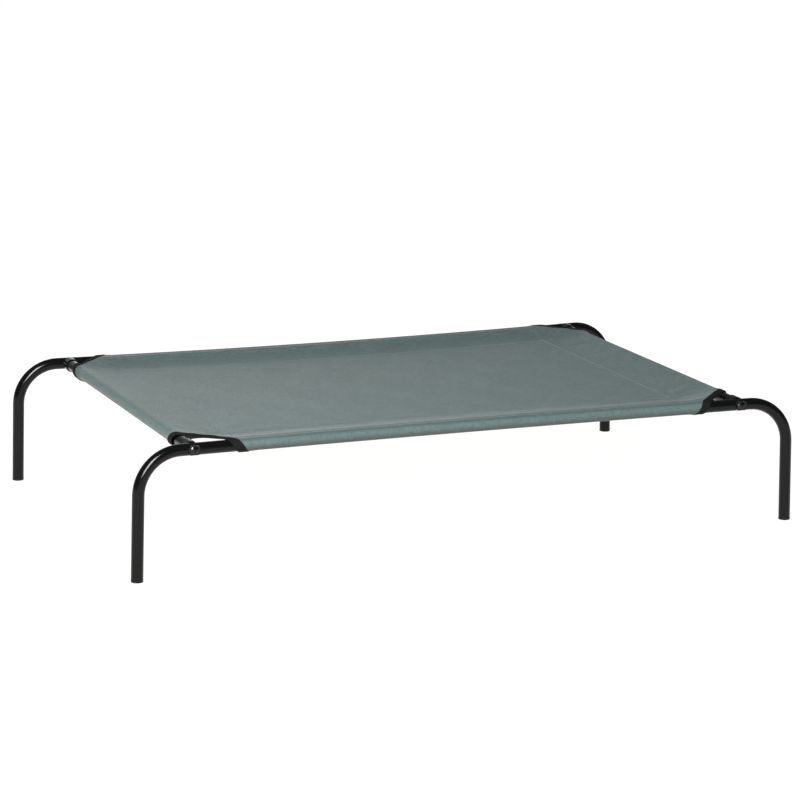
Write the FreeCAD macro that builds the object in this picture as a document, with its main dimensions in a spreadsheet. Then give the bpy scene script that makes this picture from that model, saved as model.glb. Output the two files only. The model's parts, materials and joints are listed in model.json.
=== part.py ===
import FreeCAD, Part
import math
import os

import Sketcher

# Raised dog bed: a cloth sling on a frame of bent steel tube. Millimetres and degrees.
# X runs along the bed, Y across it and Z up. The origin is on the floor, under the bed's centre.

os.makedirs("parts", exist_ok=True)
doc = FreeCAD.newDocument("raised_dog_bed")
Vector = FreeCAD.Vector
Rotation = FreeCAD.Rotation
Placement = FreeCAD.Placement

# --- driving dimensions ---------------------------------------------------------------------

DIMENSIONS = [
    ("tube_diameter", 22.0, "outside of every frame tube"),
    ("tube_wall", 1.2, "wall of every frame tube"),
    ("cross_reach", 536.0, "bed centre to a cross tube, along X"),
    ("rail_reach", 382.0, "bed centre to a side rail at the cross tubes, along Y"),
    ("rail_height", 228.0, "floor to the rail's centre line at the cross tubes"),
    ("arc_reach", 518.0, "bed centre to the end of the rail's bowed part, along X"),
    ("rail_bow", 14.0, "how far the sling pulls the middle of the bowed part inwards"),
    ("rail_sag", 1.9, "how far the middle of the bowed part hangs below its ends"),
    ("end_straight", 23.0, "cross tube to the start of the leg's bend"),
    ("bend_radius", 77.0, "centre line radius of the leg's bend"),
    ("leg_splay", 1.2, "lean of a leg away from the bed's centre"),
    ("bolt_length", 60.0, "frame bolt under the head"),
    ("thread_gap", 0.05, "plain clearance that stands for the thread"),
    ("join_length", 120.0, "joining sleeve inside the two halves of a rail"),
    ("slip_gap", 0.1, "clearance between parts pushed together"),
    ("spacer_length", 17.0, "rail's side to the end of the cross tube"),
    ("spacer_diameter", 26.0, "outside of the saddle spacer"),
    ("saddle_wrap", 5.0, "spacer and washer past the rail's side, round the rail"),
    ("spigot_length", 6.0, "spacer's spigot inside the cross tube"),
    ("nut_length", 12.0, "insert nut in the end of the cross tube"),
    ("bolt_diameter", 6.0, "shank of the frame bolt"),
    ("bolt_hole", 6.6, "clearance hole for the bolt"),
    ("bolt_head", 15.0, "low domed head across"),
    ("head_height", 2.6, "height of the head"),
    ("key_width", 4.0, "hexagon socket across flats"),
    ("key_depth", 1.8, "depth of the hexagon socket"),
    ("washer_width", 20.0, "saddle washer along the rail"),
    ("washer_tall", 17.0, "saddle washer up the rail"),
    ("washer_thick", 2.2, "saddle washer outside the rail"),
    ("washer_round", 11.2, "circle that rounds the saddle washer's corners, radius"),
    ("cap_thick", 4.0, "foot cap below the end of the leg"),
    ("cap_flare", 0.2, "foot cap wider than the tube, all round"),
    ("cap_trim", 0.6, "cap moulded longer, then flat on the floor"),
    ("cap_stem", 18.0, "foot cap's stem inside the leg"),
    ("cap_round", 1.5, "rounding of the foot cap's lower edge"),
    ("cloth_thick", 1.0, "sling cloth"),
    ("cloth_gap", 0.3, "cloth to tube"),
    ("sleeve_reach", 93.0, "tube's centre line to the sleeve's seam"),
    ("seam_thick", 2.0, "hem and cloth at the seam"),
    ("seam_drop", 1.2, "seam below the tube's centre line"),
    ("panel_height", 226.0, "floor to the middle of the sling's flat panel"),
    ("panel_lap", 3.0, "flat panel past the seam"),
    ("corner_cut", 64.0, "tube crossing to the bound edge, along each tube"),
    ("binding_run", 18.0, "width of the binding, along each tube"),
    ("corner_gap", 24.0, "a sleeve's end to the other tube's centre line"),
    ("overrun", 1.0, "how far a solid that cuts or joins another runs into it or past it"),
]

sheet = doc.addObject("Spreadsheet::Sheet", "sizes")
for row, (alias, value, meaning) in enumerate(DIMENSIONS, start=1):
    sheet.set(f"A{row}", meaning)
    sheet.set(f"B{row}", str(value))
    sheet.setAlias(f"B{row}", alias)
doc.recompute()


def size(expression):
    """Value of an expression over the sheet's aliases, as a plain number."""
    result = sheet.evalExpression(expression)
    return float(getattr(result, "Value", result))


# --- the rail's curve -----------------------------------------------------------------------
# Between the cross tubes a rail is one shallow arc, in a plane that leans by ARC_LEAN because
# the rail is pulled inwards and hangs down at once. Just before them it runs straight on, so
# that the bolt goes through a straight stretch.

ARC_DEPTH = "sqrt(sizes.rail_bow^2 + sizes.rail_sag^2)"
ARC_RADIUS = f"((sizes.arc_reach^2 + sizes.rail_bow^2 + sizes.rail_sag^2) / (2 * {ARC_DEPTH}))"
ARC_SWEEP = f"asin(sizes.arc_reach / {ARC_RADIUS})"
ARC_LEAN = "atan(sizes.rail_sag / sizes.rail_bow)"
END_LEAN = f"atan(sizes.rail_sag / sizes.rail_bow * cos({ARC_SWEEP}))"
END_RISE = f"asin(sin({ARC_SWEEP}) * sin({ARC_LEAN}))"
END_YAW = f"atan(tan({ARC_SWEEP}) * cos({ARC_LEAN}))"
BOLT_STATION = f"((sizes.cross_reach - sizes.arc_reach) / cos({END_YAW}) / cos({END_RISE}))"
STRAIGHT_RUN = f"({BOLT_STATION} + sizes.end_straight)"
BEND_ANGLE = f"(90 deg - sizes.leg_splay * 1 deg + {END_RISE})"

# Lower end of the bend, from the crossing, then the leg's length down to the foot cap.
BEND_END_X = f"(sizes.end_straight + sizes.bend_radius * sin({BEND_ANGLE}))"
BEND_END_Z = f"(-sizes.bend_radius * (1 - cos({BEND_ANGLE})))"
BEND_END_HEIGHT = (
    f"(sizes.rail_height + {BEND_END_X} * sin({END_RISE}) + {BEND_END_Z} * cos({END_RISE}))"
)
LEG_LENGTH = f"({BEND_END_HEIGHT} / cos(sizes.leg_splay * 1 deg) - sizes.cap_thick)"
TUBE_RADIUS = "sizes.tube_diameter / 2"
BORE_RADIUS = "(sizes.tube_diameter / 2 - sizes.tube_wall)"
PLUG_RADIUS = f"({BORE_RADIUS} - sizes.slip_gap)"
SPACER_END = f"({TUBE_RADIUS} + sizes.spacer_length)"
SEAT = f"({TUBE_RADIUS} + sizes.washer_thick)"
MID_HEIGHT = f"(sizes.rail_height - sizes.rail_sag - {BOLT_STATION} * sin({END_RISE}))"
MID_REACH = f"(sizes.rail_reach - sizes.rail_bow - {BOLT_STATION} * cos({END_RISE}) * sin({END_YAW}))"

# The four corners: name, which end along X, which side along Y.
CORNERS = [
    ("front_left", -1, -1),
    ("front_right", 1, -1),
    ("back_left", -1, 1),
    ("back_right", 1, 1),
]
subparts = []


def keep(part, label):
    """Take a finished object as a sub-part under its own label."""
    part.Label = label
    subparts.append(part)


def crossing(end, side):
    """Where the rail's centre line meets the cross tube's, at one corner."""
    reach = Vector(end * size("sizes.cross_reach"), side * size("sizes.rail_reach"), 0)
    return reach + Vector(0, 0, size("sizes.rail_height"))


def rail_frame(end, side):
    """Frame at the end of a rail's arc: X runs outwards along the rail, Z is upright."""
    turn = side * end * size(END_YAW) + (0 if end > 0 else 180)
    heading = Rotation(Vector(0, 0, 1), turn)
    pitch = Rotation(Vector(0, 1, 0), -size(END_RISE))
    turned = heading * pitch
    back = turned.multVec(Vector(size(BOLT_STATION), 0, 0))
    return Placement(crossing(end, side) - back, turned)


def cross_frame(end, side):
    """Frame at a corner whose Z runs inwards along the cross tube, towards the bed's centre."""
    inwards = Vector(0, -side, 0)
    return Placement(crossing(end, side), Rotation(Vector(1, 0, 0), Vector(), inwards, "ZXY"))


def origin_feature(body, role):
    """One of a body's own origin planes or axes."""
    return next(item for item in body.Origin.OriginFeatures if item.Role == role)


def add_sketch(body, name, role):
    """A sketch on one of the body's origin planes."""
    sketch = body.newObject("Sketcher::SketchObject", name)
    sketch.AttachmentSupport = [(origin_feature(body, role), "")]
    sketch.MapMode = "FlatFace"
    return sketch


def bind_last(sketch, expression):
    """Drive the constraint added last by the sheet."""
    sketch.setExpression(f"Constraints[{sketch.ConstraintCount - 1}]", expression)


def add_circle(sketch, expression):
    """A circle about the sketch's origin, its radius driven by the sheet."""
    circle = sketch.addGeometry(Part.Circle(Vector(), Vector(0, 0, 1), size(expression)), False)
    sketch.addConstraint(Sketcher.Constraint("Coincident", circle, 3, -1, 1))
    sketch.addConstraint(Sketcher.Constraint("Radius", circle, size(expression)))
    bind_last(sketch, expression)
    return circle


def add_line(sketch, start, end, construction=False):
    """A straight line in a sketch between two (x, y) points."""
    return sketch.addGeometry(Part.LineSegment(Vector(*start), Vector(*end)), construction)


# --- side rails with their legs -------------------------------------------------------------


def leg_path(body):
    """The end straight, the bend and the leg, as one open line in the rail's upright plane."""
    path = add_sketch(body, body.Name + "_path", "XZ_Plane")
    start = size(STRAIGHT_RUN)
    radius = size("sizes.bend_radius")
    turn = math.radians(size(BEND_ANGLE))
    leg = size(LEG_LENGTH)
    bend_end = (start + radius * math.sin(turn), radius * (math.cos(turn) - 1))
    leg_end = (bend_end[0] + leg * math.cos(turn), bend_end[1] - leg * math.sin(turn))
    straight = add_line(path, (0, 0), (start, 0))
    circle = Part.Circle(Vector(start, -radius), Vector(0, 0, 1), radius)
    bend = path.addGeometry(Part.ArcOfCircle(circle, math.pi / 2 - turn, math.pi / 2), False)
    down = add_line(path, bend_end, leg_end)
    path.addConstraint(Sketcher.Constraint("Coincident", straight, 1, -1, 1))
    path.addConstraint(Sketcher.Constraint("Horizontal", straight))
    path.addConstraint(Sketcher.Constraint("Tangent", straight, 2, bend, 2))
    path.addConstraint(Sketcher.Constraint("Tangent", bend, 1, down, 1))
    path.addConstraint(Sketcher.Constraint("Distance", straight, start))
    bind_last(path, STRAIGHT_RUN)
    path.addConstraint(Sketcher.Constraint("Radius", bend, radius))
    bind_last(path, "sizes.bend_radius")
    path.addConstraint(Sketcher.Constraint("Angle", bend, turn))
    bind_last(path, BEND_ANGLE)
    path.addConstraint(Sketcher.Constraint("Distance", down, leg))
    bind_last(path, LEG_LENGTH)
    return path, [f"Edge{number}" for number in (1, 2, 3)]


def tube_section(body, name, outer, inner):
    """A ring about the body's X axis."""
    section = add_sketch(body, name, "YZ_Plane")
    add_circle(section, outer)
    add_circle(section, inner)
    return section


def add_arc_axis(section, hand, lean):
    """The rail arc's axis in a ring sketch, on the outer side of the bed, as a construction line."""
    radius = size(ARC_RADIUS)
    angle = math.radians(size(lean))
    centre = (hand * radius * math.cos(angle), radius * math.sin(angle))
    top = (centre[0] - hand * math.sin(angle), centre[1] + math.cos(angle))
    spoke = add_line(section, (0, 0), centre, True)
    axis = add_line(section, centre, top, True)
    section.addConstraint(Sketcher.Constraint("Coincident", spoke, 1, -1, 1))
    section.addConstraint(Sketcher.Constraint("Coincident", spoke, 2, axis, 1))
    section.addConstraint(Sketcher.Constraint("Perpendicular", spoke, axis))
    section.addConstraint(Sketcher.Constraint("Distance", axis, 1.0))
    section.addConstraint(Sketcher.Constraint("DistanceX", *order_ends(spoke, hand), abs(centre[0])))
    bind_last(section, f"{ARC_RADIUS} * cos({lean})")
    section.addConstraint(Sketcher.Constraint("DistanceY", spoke, 1, spoke, 2, centre[1]))
    bind_last(section, f"{ARC_RADIUS} * sin({lean})")


def order_ends(line, hand):
    """The ends of a line that starts at the origin, left one first."""
    return (line, 1, line, 2) if hand > 0 else (line, 2, line, 1)


def bolt_bore(body, hand):
    """Cut the bolt's hole through both walls of a rail, square to the bed and not to the rail."""
    bore = add_sketch(body, body.Name + "_bore", "XZ_Plane")
    add_circle(bore, "sizes.bolt_hole / 2")
    yaw = -hand * size(END_YAW)
    bore.AttachmentOffset = Placement(Vector(size(BOLT_STATION), 0, 0), Rotation(Vector(0, 1, 0), yaw))
    pocket = body.newObject("PartDesign::Pocket", body.Name + "_bolt_hole")
    pocket.Profile = bore
    pocket.Type = "ThroughAll"
    pocket.SideType = "Symmetric"
    return pocket


def make_rail(name, end, side):
    """One half of a side rail: the bowed half, the end straight, the bend and the leg."""
    body = doc.addObject("PartDesign::Body", name)
    hand = end * side
    section = tube_section(body, name + "_ring", TUBE_RADIUS, BORE_RADIUS)
    path, edges = leg_path(body)
    doc.recompute()
    leg = body.newObject("PartDesign::AdditivePipe", name + "_leg")
    leg.Profile = section
    leg.Spine = (path, edges)
    leg.Transition = "Transformed"
    doc.recompute()
    bow_section = tube_section(body, name + "_bow_ring", TUBE_RADIUS, BORE_RADIUS)
    add_arc_axis(bow_section, hand, END_LEAN)
    doc.recompute()
    bow = body.newObject("PartDesign::Revolution", name + "_bow")
    bow.Profile = bow_section
    bow.ReferenceAxis = (bow_section, ["Axis1"])
    bow.setExpression("Angle", ARC_SWEEP)
    bow.Reversed = hand > 0
    doc.recompute()
    bolt_bore(body, hand)
    doc.recompute()
    body.Placement = rail_frame(end, side)
    keep(body, name)


# --- plugs, spacers and fasteners -----------------------------------------------------------


def mid_rail_point(side):
    """The rail's centre line in the middle of the bed."""
    return Vector(0, side * size(MID_REACH), size(MID_HEIGHT))


def make_joining_sleeve(name, side):
    """Short tube inside the two halves of a rail, bowed like them."""
    body = doc.addObject("PartDesign::Body", name)
    section = tube_section(body, name + "_ring", PLUG_RADIUS, f"({PLUG_RADIUS} - sizes.tube_wall)")
    add_arc_axis(section, side, ARC_LEAN)
    doc.recompute()
    turn = body.newObject("PartDesign::Revolution", name + "_bow")
    turn.Profile = section
    turn.ReferenceAxis = (section, ["Axis1"])
    turn.setExpression("Angle", f"sizes.join_length / {ARC_RADIUS} * 180 deg / pi")
    turn.Midplane = True
    doc.recompute()
    body.Placement = Placement(mid_rail_point(side), Rotation())
    keep(body, name)


def cylinder(name, radius, height, start="0"):
    """A cylinder about Z from a start height, its sizes driven by the sheet."""
    part = doc.addObject("Part::Cylinder", name)
    part.setExpression("Radius", radius)
    part.setExpression("Height", height)
    part.setExpression("Placement.Base.z", start)
    return part


def join(kind, name, first, second):
    """A Part boolean of two objects."""
    part = doc.addObject("Part::" + kind, name)
    part.Base = first
    part.Tool = second
    return part


def rail_stub(name, radius, end, side):
    """A straight stretch of the rail's envelope, in the cross tube's frame at a corner."""
    stub = doc.addObject("Part::Cylinder", name)
    stub.setExpression("Radius", radius)
    stub.setExpression("Height", "2 * sizes.spacer_diameter")
    along = rail_frame(end, side).Rotation.multVec(Vector(1, 0, 0))
    local = cross_frame(end, side).Rotation.inverted().multVec(along)
    start = local * -size("sizes.spacer_diameter")
    stub.Placement = Placement(start, Rotation(Vector(0, 0, 1), local))
    return stub


def make_cross_tube(name, end):
    """Straight tube between the two side rails."""
    half = f"(sizes.rail_reach - {SPACER_END})"
    cut = f"({half} + sizes.overrun)"
    outer = cylinder(name + "_outside", TUBE_RADIUS, f"2 * {half}", f"-{half}")
    inner = cylinder(name + "_bore", BORE_RADIUS, f"2 * {cut}", f"-{cut}")
    tube = join("Cut", name, outer, inner)
    centre = Vector(end * size("sizes.cross_reach"), 0, size("sizes.rail_height"))
    tube.Placement = Placement(centre, Rotation(Vector(1, 0, 0), 90))
    keep(tube, name)


def make_saddle_spacer(name, end, side):
    """Collar that seats the cross tube on the rail, with a spigot inside the cross tube."""
    wrap = f"({TUBE_RADIUS} - sizes.saddle_wrap)"
    collar = cylinder(name + "_collar", "sizes.spacer_diameter / 2", f"{SPACER_END} - {wrap}", wrap)
    spigot_length = "sizes.spigot_length + sizes.overrun"
    spigot = cylinder(name + "_spigot", PLUG_RADIUS, spigot_length, f"{SPACER_END} - sizes.overrun")
    blank = join("Fuse", name + "_blank", collar, spigot)
    rail = rail_stub(name + "_rail", f"{TUBE_RADIUS} + sizes.slip_gap", end, side)
    seated = join("Cut", name + "_seat", blank, rail)
    bore = cylinder(name + "_bore", "sizes.bolt_hole / 2", "3 * sizes.spacer_length")
    spacer = join("Cut", name, seated, bore)
    spacer.Placement = cross_frame(end, side)
    keep(spacer, name)


def make_insert_nut(name, end, side):
    """Threaded plug in the end of the cross tube, behind the spacer's spigot."""
    start = f"({SPACER_END} + sizes.spigot_length)"
    plug = cylinder(name + "_plug", PLUG_RADIUS, "sizes.nut_length", start)
    thread_radius = "sizes.bolt_diameter / 2 + sizes.thread_gap"
    bore = cylinder(name + "_thread", thread_radius, f"{start} + 2 * sizes.nut_length")
    nut = join("Cut", name, plug, bore)
    nut.Placement = cross_frame(end, side)
    keep(nut, name)


def make_saddle_washer(name, end, side):
    """Curved pad between the bolt's head and the rail's outer side."""
    block = doc.addObject("Part::Box", name + "_block")
    block.setExpression("Length", "sizes.washer_width")
    block.setExpression("Width", "sizes.washer_tall")
    block.setExpression("Height", "sizes.washer_thick + sizes.saddle_wrap")
    block.setExpression("Placement.Base.x", "-sizes.washer_width / 2")
    block.setExpression("Placement.Base.y", "-sizes.washer_tall / 2")
    block.setExpression("Placement.Base.z", f"-{SEAT}")
    round_blank = cylinder(name + "_round", "sizes.washer_round", "sizes.saddle_wrap * 2", f"-{SEAT}")
    blank = join("Common", name + "_blank", block, round_blank)
    rail = rail_stub(name + "_rail", f"{TUBE_RADIUS} + sizes.slip_gap", end, side)
    seated = join("Cut", name + "_seat", blank, rail)
    bore = cylinder(name + "_bore", "sizes.bolt_hole / 2", "2 * sizes.tube_diameter", f"-2 * {SEAT}")
    washer = join("Cut", name, seated, bore)
    washer.Placement = cross_frame(end, side)
    keep(washer, name)


def bolt_profile(body):
    """Half section of the bolt: shank and domed head, about the body's Z axis."""
    sketch = add_sketch(body, body.Name + "_profile", "XZ_Plane")
    shank = size("sizes.bolt_diameter / 2")
    length = size("sizes.bolt_length")
    head = size("sizes.bolt_head / 2")
    tall = size("sizes.head_height")
    dome = (head * head + tall * tall) / (2 * tall)
    axis = add_line(sketch, (0, -tall), (0, length))
    tip = add_line(sketch, (0, length), (shank, length))
    flank = add_line(sketch, (shank, length), (shank, 0))
    under = add_line(sketch, (shank, 0), (head, 0))
    circle = Part.Circle(Vector(0, dome - tall), Vector(0, 0, 1), dome)
    edge_angle = math.atan2(tall - dome, head)
    cap = sketch.addGeometry(Part.ArcOfCircle(circle, -math.pi / 2, edge_angle), False)
    for first, second in ((axis, tip), (tip, flank), (flank, under)):
        sketch.addConstraint(Sketcher.Constraint("Coincident", first, 2, second, 1))
    sketch.addConstraint(Sketcher.Constraint("Coincident", under, 2, cap, 2))
    sketch.addConstraint(Sketcher.Constraint("Coincident", cap, 1, axis, 1))
    sketch.addConstraint(Sketcher.Constraint("PointOnObject", cap, 3, -2))
    sketch.addConstraint(Sketcher.Constraint("PointOnObject", axis, 1, -2))
    sketch.addConstraint(Sketcher.Constraint("Vertical", axis))
    sketch.addConstraint(Sketcher.Constraint("Horizontal", tip))
    sketch.addConstraint(Sketcher.Constraint("Vertical", flank))
    sketch.addConstraint(Sketcher.Constraint("PointOnObject", under, 1, -1))
    sketch.addConstraint(Sketcher.Constraint("Horizontal", under))
    sketch.addConstraint(Sketcher.Constraint("Distance", tip, shank))
    bind_last(sketch, "sizes.bolt_diameter / 2")
    sketch.addConstraint(Sketcher.Constraint("Distance", flank, length))
    bind_last(sketch, "sizes.bolt_length")
    sketch.addConstraint(Sketcher.Constraint("Distance", axis, length + tall))
    bind_last(sketch, "sizes.bolt_length + sizes.head_height")
    sketch.addConstraint(Sketcher.Constraint("Distance", under, head - shank))
    bind_last(sketch, "(sizes.bolt_head - sizes.bolt_diameter) / 2")
    return sketch


def cut_key_socket(body):
    """Hexagon socket in the top of the bolt's head."""
    hexagon = add_sketch(body, body.Name + "_key", "XY_Plane")
    hexagon.setExpression("AttachmentOffset.Base.z", "-sizes.head_height")
    corner = size("sizes.key_width") / math.sqrt(3)
    turns = [math.pi / 3 * step for step in range(6)]
    points = [(corner * math.cos(turn), corner * math.sin(turn)) for turn in turns]
    sides = [add_line(hexagon, points[step], points[(step + 1) % 6]) for step in range(6)]
    ring = hexagon.addGeometry(Part.Circle(Vector(), Vector(0, 0, 1), corner), True)
    hexagon.addConstraint(Sketcher.Constraint("Coincident", ring, 3, -1, 1))
    for step, line in enumerate(sides):
        hexagon.addConstraint(Sketcher.Constraint("Coincident", line, 2, sides[(step + 1) % 6], 1))
        hexagon.addConstraint(Sketcher.Constraint("PointOnObject", line, 1, ring))
    for line in sides[1:]:
        hexagon.addConstraint(Sketcher.Constraint("Equal", sides[0], line))
    hexagon.addConstraint(Sketcher.Constraint("PointOnObject", sides[0], 1, -1))
    hexagon.addConstraint(Sketcher.Constraint("Radius", ring, corner))
    bind_last(hexagon, "sizes.key_width / sqrt(3)")
    pocket = body.newObject("PartDesign::Pocket", body.Name + "_socket")
    pocket.Profile = hexagon
    pocket.setExpression("Length", "sizes.key_depth")
    pocket.Reversed = True


def make_frame_bolt(name, end, side):
    """Bolt through the washer, the rail and the spacer into the insert nut."""
    body = doc.addObject("PartDesign::Body", name)
    profile = bolt_profile(body)
    doc.recompute()
    turned = body.newObject("PartDesign::Revolution", name + "_turned")
    turned.Profile = profile
    turned.ReferenceAxis = (profile, ["V_Axis"])
    turned.Angle = 360
    doc.recompute()
    solid_volume = body.Shape.Volume
    cut_key_socket(body)
    doc.recompute()
    if body.Shape.Volume >= solid_volume:
        raise RuntimeError(name + ": the socket cuts nothing")
    frame = cross_frame(end, side)
    body.Placement = frame * Placement(Vector(0, 0, -size(SEAT)), Rotation())
    keep(body, name)


# --- feet -----------------------------------------------------------------------------------


def foot_frame(end, side):
    """Frame where a leg's centre line meets the floor: Z runs up the leg."""
    turn = size(BEND_ANGLE)
    leg = size(f"{LEG_LENGTH} + sizes.cap_thick")
    along = size(f"{BOLT_STATION} + {BEND_END_X}") + leg * math.cos(math.radians(turn))
    down = size(BEND_END_Z) - leg * math.sin(math.radians(turn))
    local = Placement(Vector(along, 0, down), Rotation(Vector(0, 1, 0), turn - 90))
    return rail_frame(end, side) * local


def make_foot_cap(name, end, side):
    """Plastic cap on the end of a leg: a flange with a rounded edge and a stem in the tube."""
    flange_radius = f"{TUBE_RADIUS} + sizes.cap_flare"
    flange_height = "sizes.cap_thick + sizes.cap_trim"
    flange = cylinder(name + "_flange", flange_radius, flange_height, "-sizes.cap_trim")
    doc.recompute()
    eased = doc.addObject("Part::Fillet", name + "_eased")
    eased.Base = flange
    rounding = size("sizes.cap_round")
    eased.Edges = [(lowest_circle(flange), rounding, rounding)]
    stem_length = "sizes.cap_stem + sizes.overrun"
    stem = cylinder(name + "_stem", PLUG_RADIUS, stem_length, "sizes.cap_thick - sizes.overrun")
    blank = join("Fuse", name + "_blank", eased, stem)
    frame = foot_frame(end, side)
    ground = doc.addObject("Part::Box", name + "_floor")
    ground.setExpression("Length", "2 * sizes.tube_diameter")
    ground.setExpression("Width", "2 * sizes.tube_diameter")
    ground.setExpression("Height", "sizes.tube_diameter")
    corner = frame.Base - Vector(size("sizes.tube_diameter"), size("sizes.tube_diameter"))
    corner.z = -size("sizes.tube_diameter")
    ground.Placement = frame.inverse() * Placement(corner, Rotation())
    cap = join("Cut", name, blank, ground)
    cap.Placement = frame
    keep(cap, name)


def lowest_circle(part):
    """Number of the circular edge that lies lowest in a shape."""
    edges = enumerate(part.Shape.Edges, start=1)
    circles = [(edge.CenterOfMass.z, number) for number, edge in edges if edge.isClosed()]
    return min(circles)[1]


# --- sling and corner bindings --------------------------------------------------------------

OUTER_CLOTH = f"({TUBE_RADIUS} + sizes.cloth_gap + sizes.cloth_thick)"
INNER_CLOTH = f"({TUBE_RADIUS} + sizes.cloth_gap)"
BINDING_EDGE = "(sizes.corner_cut + sizes.binding_run)"


def tangent_point(radius, tip, upper):
    """Where a line from a point touches a circle about the origin, on the upper or lower side."""
    distance = math.hypot(*tip)
    swing = math.acos(radius / distance)
    angle = math.atan2(tip[1], tip[0]) + (swing if upper else -swing)
    return radius * math.cos(angle), radius * math.sin(angle), angle


def add_loop(sketch, radius, upper_tip, lower_tip):
    """A circle drawn out to a tip by two tangent lines: arc, upper line and lower line."""
    above = tangent_point(radius, upper_tip, True)
    below = tangent_point(radius, lower_tip, False)
    circle = Part.Circle(Vector(), Vector(0, 0, 1), radius)
    arc = sketch.addGeometry(Part.ArcOfCircle(circle, above[2], below[2] + 2 * math.pi), False)
    upper = add_line(sketch, above[:2], upper_tip)
    lower = add_line(sketch, below[:2], lower_tip)
    sketch.addConstraint(Sketcher.Constraint("Coincident", arc, 3, -1, 1))
    sketch.addConstraint(Sketcher.Constraint("Tangent", arc, 1, upper, 1))
    sketch.addConstraint(Sketcher.Constraint("Tangent", arc, 2, lower, 1))
    sketch.addConstraint(Sketcher.Constraint("Radius", arc, radius))
    return upper, lower


def sleeve_section(name):
    """Section of a sewn sleeve: a tube of cloth about the origin, drawn out to its seam at +X."""
    sketch = doc.addObject("Sketcher::SketchObject", name)
    reach = size("sizes.sleeve_reach")
    half_seam = size("sizes.seam_thick / 2")
    drop = size("sizes.seam_drop")
    top = (reach, half_seam - drop)
    bottom = (reach, -half_seam - drop)
    outer_top, outer_bottom = add_loop(sketch, size(OUTER_CLOTH), top, bottom)
    bind_last(sketch, OUTER_CLOTH)
    seam = add_line(sketch, top, bottom)
    sketch.addConstraint(Sketcher.Constraint("Coincident", outer_top, 2, seam, 1))
    sketch.addConstraint(Sketcher.Constraint("Coincident", outer_bottom, 2, seam, 2))
    sketch.addConstraint(Sketcher.Constraint("Vertical", seam))
    sketch.addConstraint(Sketcher.Constraint("Distance", seam, 2 * half_seam))
    bind_last(sketch, "sizes.seam_thick")
    sketch.addConstraint(Sketcher.Constraint("DistanceX", -1, 1, seam, 1, reach))
    bind_last(sketch, "sizes.sleeve_reach")
    sketch.addConstraint(Sketcher.Constraint("DistanceY", seam, 2, -1, 1, half_seam + drop))
    bind_last(sketch, "sizes.seam_thick / 2 + sizes.seam_drop")
    tip = (reach - size("3 * sizes.cloth_thick"), -drop)
    inner_top, inner_bottom = add_loop(sketch, size(INNER_CLOTH), tip, tip)
    bind_last(sketch, INNER_CLOTH)
    sketch.addConstraint(Sketcher.Constraint("Coincident", inner_top, 2, inner_bottom, 2))
    sketch.addConstraint(Sketcher.Constraint("DistanceX", -1, 1, inner_top, 2, tip[0]))
    bind_last(sketch, "sizes.sleeve_reach - 3 * sizes.cloth_thick")
    sketch.addConstraint(Sketcher.Constraint("DistanceY", inner_top, 2, -1, 1, drop))
    bind_last(sketch, "sizes.seam_drop")
    return sketch


def make_cross_sleeve(name, end):
    """Sleeve of the sling round a cross tube."""
    section = sleeve_section(name + "_section")
    centre = Vector(end * size("sizes.cross_reach"), 0, size("sizes.rail_height"))
    inwards = Vector(-end, 0, 0)
    section.Placement = Placement(centre, Rotation(inwards, Vector(0, 0, 1), Vector(), "XYZ"))
    sleeve = doc.addObject("Part::Extrusion", name)
    sleeve.Base = section
    sleeve.DirMode = "Custom"
    sleeve.Dir = Vector(0, 1, 0)
    sleeve.setExpression("LengthFwd", "2 * (sizes.rail_reach - sizes.corner_gap)")
    sleeve.Symmetric = True
    sleeve.Solid = True
    return sleeve


def make_rail_sleeve(name, side):
    """Sleeve of the sling round a side rail, bowed and sagging like the rail."""
    section = sleeve_section(name + "_section")
    middle = mid_rail_point(side)
    inwards = Vector(0, -side, 0)
    section.Placement = Placement(middle, Rotation(inwards, Vector(0, 0, 1), Vector(), "XYZ"))
    lean = math.radians(size(ARC_LEAN))
    spoke = Vector(0, side * math.cos(lean), math.sin(lean))
    sleeve = doc.addObject("Part::Revolution", name)
    sleeve.Source = section
    sleeve.Axis = Vector(0, -side * math.sin(lean), math.cos(lean))
    sleeve.Base = middle + spoke * size(ARC_RADIUS)
    sleeve.setExpression("Angle", f"2 * asin((sizes.cross_reach - sizes.corner_gap) / {ARC_RADIUS})")
    sleeve.Symmetric = True
    sleeve.Solid = True
    return sleeve


def make_panel(name):
    """Flat middle of the sling."""
    panel = doc.addObject("Part::Box", name)
    half_long = "(sizes.cross_reach - sizes.sleeve_reach + sizes.panel_lap)"
    half_wide = "(sizes.rail_reach - sizes.sleeve_reach + sizes.panel_lap)"
    panel.setExpression("Length", f"2 * {half_long}")
    panel.setExpression("Width", f"2 * {half_wide}")
    panel.setExpression("Height", "sizes.cloth_thick")
    panel.setExpression("Placement.Base.x", f"-{half_long}")
    panel.setExpression("Placement.Base.y", f"-{half_wide}")
    panel.setExpression("Placement.Base.z", "sizes.panel_height - sizes.cloth_thick / 2")
    return panel


def corner_block(name, end, side, inner_run, depth):
    """Upright block across a corner at 45 degrees, from a run along the tubes outwards."""
    block = doc.addObject("Part::Box", name)
    block.setExpression("Length", depth)
    block.setExpression("Width", "4 * sizes.sleeve_reach")
    block.setExpression("Height", "4 * sizes.tube_diameter")
    up = Vector(0, 0, 1)
    outwards = Vector(end, side, 0).normalize()
    half_width = up.cross(outwards) * size("2 * sizes.sleeve_reach")
    start = crossing(end, side) - Vector(end * size(inner_run), 0, size("2 * sizes.tube_diameter"))
    block.Placement = Placement(start - half_width, Rotation(outwards, Vector(), up, "ZXY"))
    return block


# --- the whole bed --------------------------------------------------------------------------

ENDS = {"left": -1, "right": 1}
SIDES = {"front": -1, "back": 1}

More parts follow.
